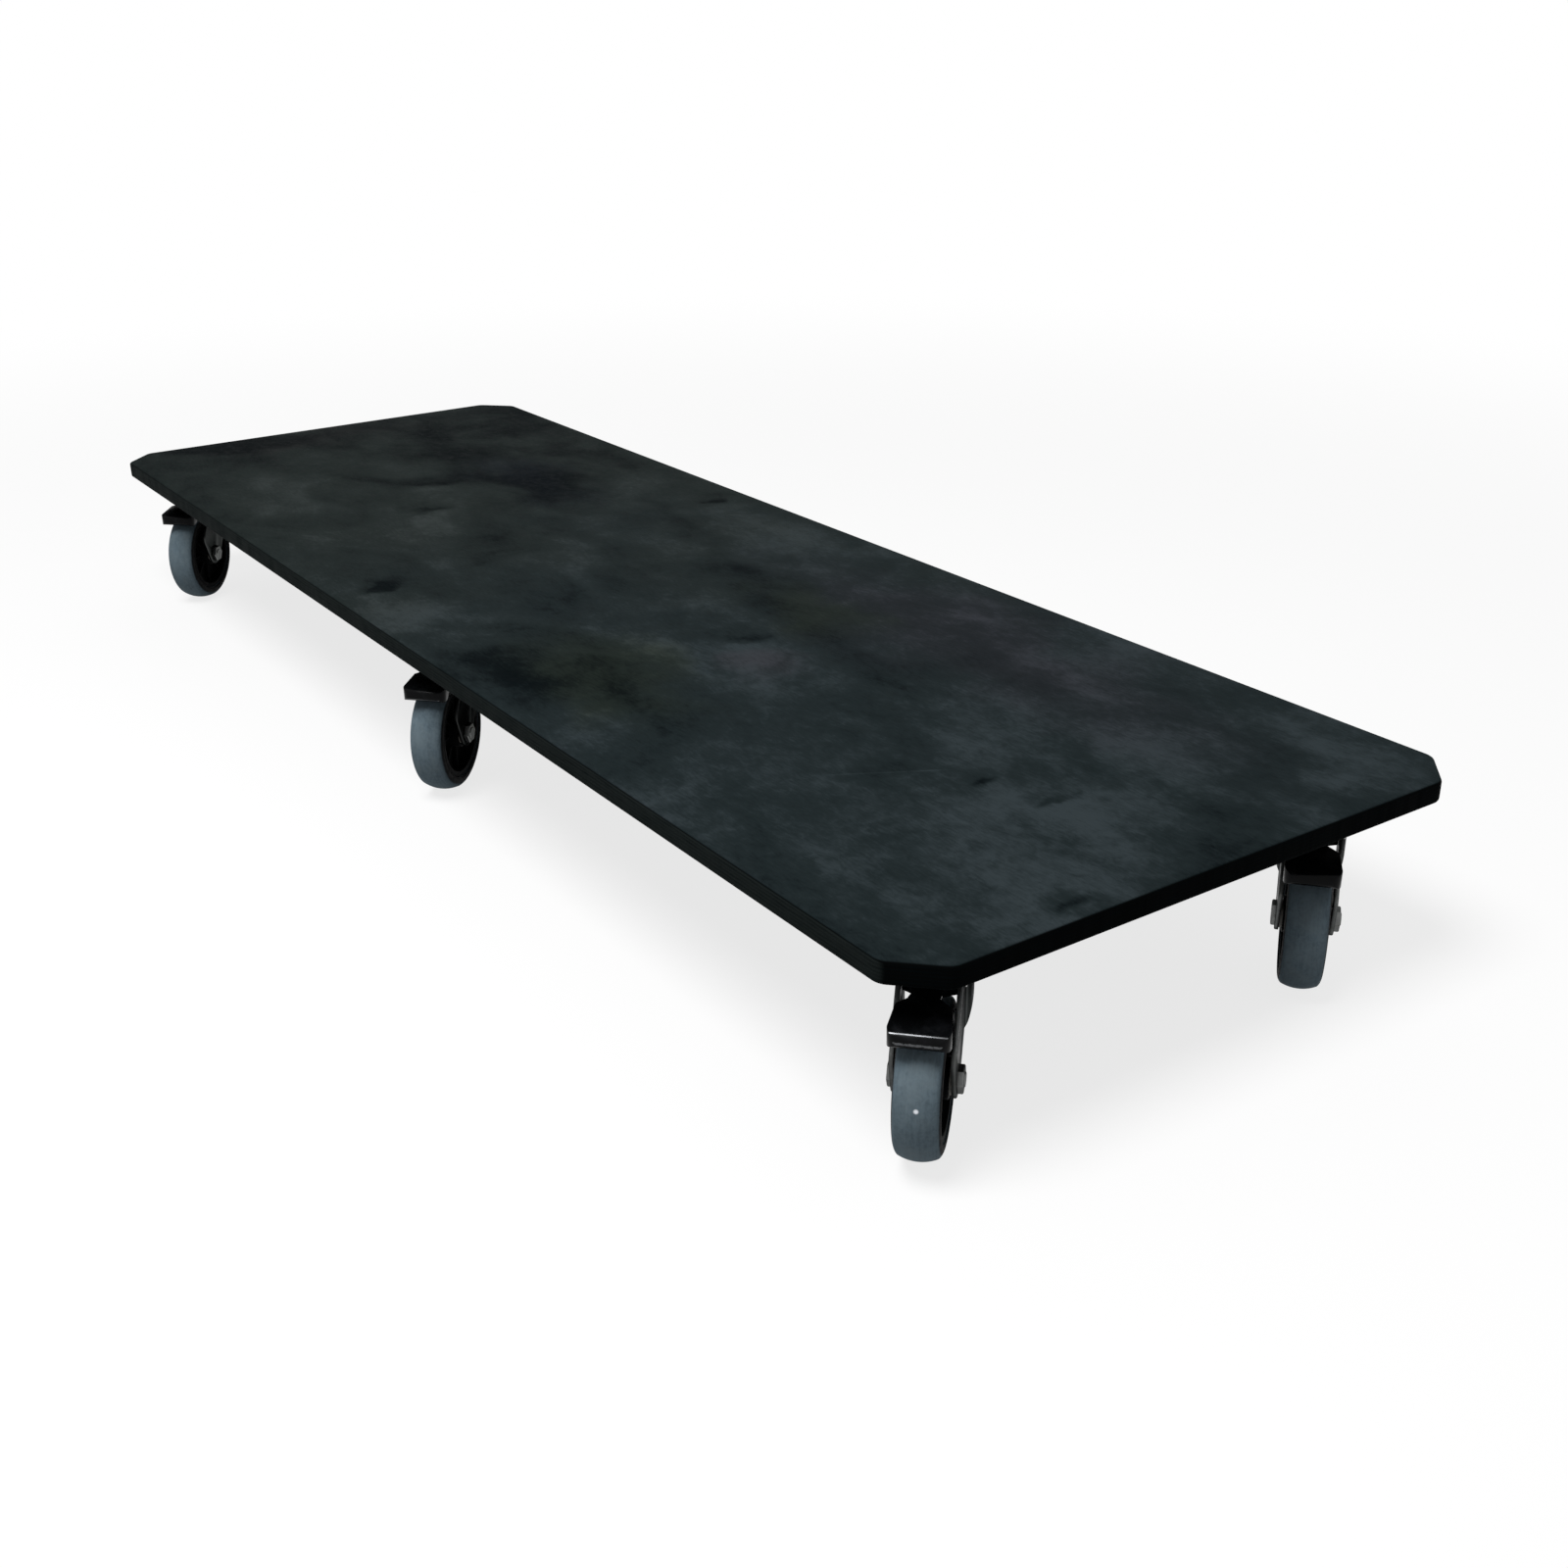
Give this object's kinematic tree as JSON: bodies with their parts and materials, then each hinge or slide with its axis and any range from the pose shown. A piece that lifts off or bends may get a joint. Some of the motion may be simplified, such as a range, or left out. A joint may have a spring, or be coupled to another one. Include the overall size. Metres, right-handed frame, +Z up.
{
  "type": "caster platform",
  "caption": "Long flat dolly: a black plywood deck with clipped corners on swivel casters with grey tyres and foot brakes, for rolling heavy loads over a floor.",
  "frame": {"origin": "on the floor under the middle of the deck", "axes": "+X along the deck to its front end, the near end of the picture; +Y to its left side; +Z up"},
  "size_m": [1.8008, 0.6, 0.184],
  "materials": {
    "deck_board": "black-stained plywood, satin, cloudy figure",
    "screw_zinc": "zinc-plated",
    "plate_zinc": "zinc-plated pressed steel",
    "fork_zinc": "zinc-plated pressed steel",
    "axle_zinc": "zinc-plated",
    "pin_steel": "zinc-plated, peened over",
    "race_steel": "hardened steel, greased",
    "ball_steel": "polished bearing steel",
    "pedal_black": "glossy black paint, worn at the edges",
    "shoe_rubber": "matt black",
    "wheel_black": "moulded black",
    "tyre_grey": "blue-grey rubber, matt",
    "bush_nylon": "off-white nylon"
  },
  "bodies": {
    "deck": {"deck": "deck_board", "deck_screws": "screw_zinc", "king_pins": "pin_steel", "lower_races": "race_steel", "bearing_balls": "ball_steel", "top_plate_front_right": "plate_zinc", "top_plate_front_left": "plate_zinc", "top_plate_middle_right": "plate_zinc", "top_plate_middle_left": "plate_zinc", "top_plate_rear_right": "plate_zinc", "top_plate_rear_left": "plate_zinc"},
    "front_right_swivel": {"fork_front_right": "fork_zinc", "axle_bolt_front_right": "axle_zinc", "pedal_pin_front_right": "pin_steel"},
    "front_right_wheel": {"wheel_centre_front_right": "wheel_black", "tyre_front_right": "tyre_grey", "wheel_bushes_front_right": "bush_nylon"},
    "front_right_pedal": {"brake_pedal_front_right": "pedal_black", "brake_shoe_front_right": "shoe_rubber"},
    "front_left_swivel": {"fork_front_left": "fork_zinc", "axle_bolt_front_left": "axle_zinc", "pedal_pin_front_left": "pin_steel"},
    "front_left_wheel": {"wheel_centre_front_left": "wheel_black", "tyre_front_left": "tyre_grey", "wheel_bushes_front_left": "bush_nylon"},
    "front_left_pedal": {"brake_pedal_front_left": "pedal_black", "brake_shoe_front_left": "shoe_rubber"},
    "middle_right_swivel": {"fork_middle_right": "fork_zinc", "axle_bolt_middle_right": "axle_zinc", "pedal_pin_middle_right": "pin_steel"},
    "middle_right_wheel": {"wheel_centre_middle_right": "wheel_black", "tyre_middle_right": "tyre_grey", "wheel_bushes_middle_right": "bush_nylon"},
    "middle_right_pedal": {"brake_pedal_middle_right": "pedal_black", "brake_shoe_middle_right": "shoe_rubber"},
    "middle_left_swivel": {"fork_middle_left": "fork_zinc", "axle_bolt_middle_left": "axle_zinc", "pedal_pin_middle_left": "pin_steel"},
    "middle_left_wheel": {"wheel_centre_middle_left": "wheel_black", "tyre_middle_left": "tyre_grey", "wheel_bushes_middle_left": "bush_nylon"},
    "middle_left_pedal": {"brake_pedal_middle_left": "pedal_black", "brake_shoe_middle_left": "shoe_rubber"},
    "rear_right_swivel": {"fork_rear_right": "fork_zinc", "axle_bolt_rear_right": "axle_zinc", "pedal_pin_rear_right": "pin_steel"},
    "rear_right_wheel": {"wheel_centre_rear_right": "wheel_black", "tyre_rear_right": "tyre_grey", "wheel_bushes_rear_right": "bush_nylon"},
    "rear_right_pedal": {"brake_pedal_rear_right": "pedal_black", "brake_shoe_rear_right": "shoe_rubber"},
    "rear_left_swivel": {"fork_rear_left": "fork_zinc", "axle_bolt_rear_left": "axle_zinc", "pedal_pin_rear_left": "pin_steel"},
    "rear_left_wheel": {"wheel_centre_rear_left": "wheel_black", "tyre_rear_left": "tyre_grey", "wheel_bushes_rear_left": "bush_nylon"},
    "rear_left_pedal": {"brake_pedal_rear_left": "pedal_black", "brake_shoe_rear_left": "shoe_rubber"}
  },
  "joints": [
    {"name": "front_right_swivel", "type": "hinge", "parent": "deck", "child": "front_right_swivel", "pos_m": [0.816, -0.209, 0.15], "axis": [0, 0, 1], "continuous": true},
    {"name": "front_right_wheel_roll", "type": "hinge", "parent": "front_right_swivel", "child": "front_right_wheel", "pos_m": [0.84916, -0.2437, 0.0625], "axis": [0.723, 0.6909, 0], "continuous": true},
    {"name": "front_right_brake", "type": "hinge", "parent": "front_right_swivel", "child": "front_right_pedal", "pos_m": [0.83396, -0.2278, 0.1335], "axis": [0.723, 0.6909, 0], "range_deg": [0, 5.5]},
    {"name": "front_left_swivel", "type": "hinge", "parent": "deck", "child": "front_left_swivel", "pos_m": [0.816, 0.209, 0.15], "axis": [0, 0, 1], "continuous": true},
    {"name": "front_left_wheel_roll", "type": "hinge", "parent": "front_left_swivel", "child": "front_left_wheel", "pos_m": [0.84717, 0.1725, 0.0625], "axis": [0.7604, 0.6494, 0], "continuous": true},
    {"name": "front_left_brake", "type": "hinge", "parent": "front_left_swivel", "child": "front_left_pedal", "pos_m": [0.83289, 0.18923, 0.1335], "axis": [0.7604, 0.6494, 0], "range_deg": [0, 5.5]},
    {"name": "middle_right_swivel", "type": "hinge", "parent": "deck", "child": "middle_right_swivel", "pos_m": [0, -0.209, 0.15], "axis": [0, 0, 1], "continuous": true},
    {"name": "middle_right_wheel_roll", "type": "hinge", "parent": "middle_right_swivel", "child": "middle_right_wheel", "pos_m": [0.03267, -0.24416, 0.0625], "axis": [0.7325, 0.6807, 0], "continuous": true},
    {"name": "middle_right_brake", "type": "hinge", "parent": "middle_right_swivel", "child": "middle_right_pedal", "pos_m": [0.0177, -0.22805, 0.1335], "axis": [0.7325, 0.6807, 0], "range_deg": [0, 5.5]},
    {"name": "middle_left_swivel", "type": "hinge", "parent": "deck", "child": "middle_left_swivel", "pos_m": [0, 0.209, 0.15], "axis": [0, 0, 1], "continuous": true},
    {"name": "middle_left_wheel_roll", "type": "hinge", "parent": "middle_left_swivel", "child": "middle_left_wheel", "pos_m": [0.03394, 0.17506, 0.0625], "axis": [0.7071, 0.7071, 0], "continuous": true},
    {"name": "middle_left_brake", "type": "hinge", "parent": "middle_left_swivel", "child": "middle_left_pedal", "pos_m": [0.01838, 0.19062, 0.1335], "axis": [0.7071, 0.7071, 0], "range_deg": [0, 5.5]},
    {"name": "rear_right_swivel", "type": "hinge", "parent": "deck", "child": "rear_right_swivel", "pos_m": [-0.816, -0.209, 0.15], "axis": [0, 0, 1], "continuous": true},
    {"name": "rear_right_wheel_roll", "type": "hinge", "parent": "rear_right_swivel", "child": "rear_right_wheel", "pos_m": [-0.78212, -0.243, 0.0625], "axis": [0.7083, 0.7059, 0], "continuous": true},
    {"name": "rear_right_brake", "type": "hinge", "parent": "rear_right_swivel", "child": "rear_right_pedal", "pos_m": [-0.79765, -0.22742, 0.1335], "axis": [0.7083, 0.7059, 0], "range_deg": [0, 5.5]},
    {"name": "rear_left_swivel", "type": "hinge", "parent": "deck", "child": "rear_left_swivel", "pos_m": [-0.816, 0.209, 0.15], "axis": [0, 0, 1], "continuous": true},
    {"name": "rear_left_wheel_roll", "type": "hinge", "parent": "rear_left_swivel", "child": "rear_left_wheel", "pos_m": [-0.7809, 0.17626, 0.0625], "axis": [0.682, 0.7314, 0], "continuous": true},
    {"name": "rear_left_brake", "type": "hinge", "parent": "rear_left_swivel", "child": "rear_left_pedal", "pos_m": [-0.79698, 0.19127, 0.1335], "axis": [0.682, 0.7314, 0], "range_deg": [0, 5.5]}
  ]
}
